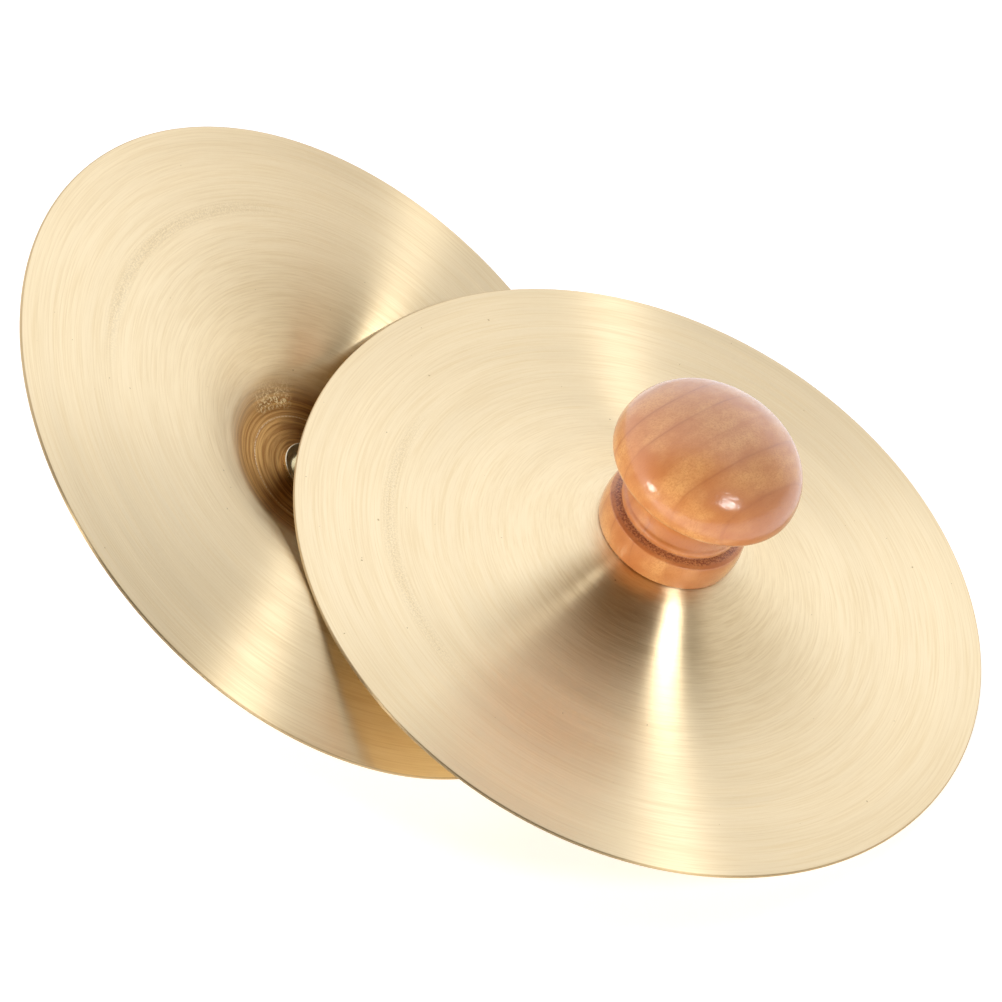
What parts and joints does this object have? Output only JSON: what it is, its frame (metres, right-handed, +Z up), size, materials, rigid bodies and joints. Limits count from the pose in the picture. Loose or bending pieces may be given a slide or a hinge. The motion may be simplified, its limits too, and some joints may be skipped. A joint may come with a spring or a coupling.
{
  "type": "finger cymbals",
  "caption": "Pair of spun brass cymbals with turned wooden knobs; one lies on its knob with the hollow up and the other leans on it.",
  "frame": {"origin": "centre of the pair's footprint, on the surface that it stands on", "axes": "+X along the pair's length, from the lower cymbal to the upper one; +Z up"},
  "size_m": [0.1977, 0.15, 0.0856],
  "materials": {
    "brass_plate": "circular brushed, lacquered",
    "knob_wood": "stained and gloss lacquered",
    "insert_brass": "as turned",
    "plated_steel": "yellow passivated zinc"
  },
  "bodies": {
    "lower_plate": {"lower_plate": "brass_plate"},
    "lower_handle": {"lower_knob": "knob_wood", "lower_insert": "insert_brass", "lower_washer": "plated_steel", "lower_screw": "plated_steel"},
    "upper_plate": {"upper_plate": "brass_plate"},
    "upper_handle": {"upper_knob": "knob_wood", "upper_insert": "insert_brass", "upper_washer": "plated_steel", "upper_screw": "plated_steel"}
  },
  "joints": [
    {"name": "lower_knob_turn", "type": "hinge", "parent": "lower_plate", "child": "lower_handle", "pos_m": [-0.03717, 0, 0.04247], "axis": [-0.5676, 0, -0.8233], "continuous": true},
    {"name": "upper_lift", "type": "slide", "parent": "lower_plate", "child": "upper_plate", "axis": [0, 0, 1], "range_m": [0, 0.12]},
    {"name": "upper_knob_turn", "type": "hinge", "parent": "upper_plate", "child": "upper_handle", "pos_m": [0.02723, 0, 0.0227], "axis": [0.2934, 0, 0.956], "continuous": true}
  ]
}
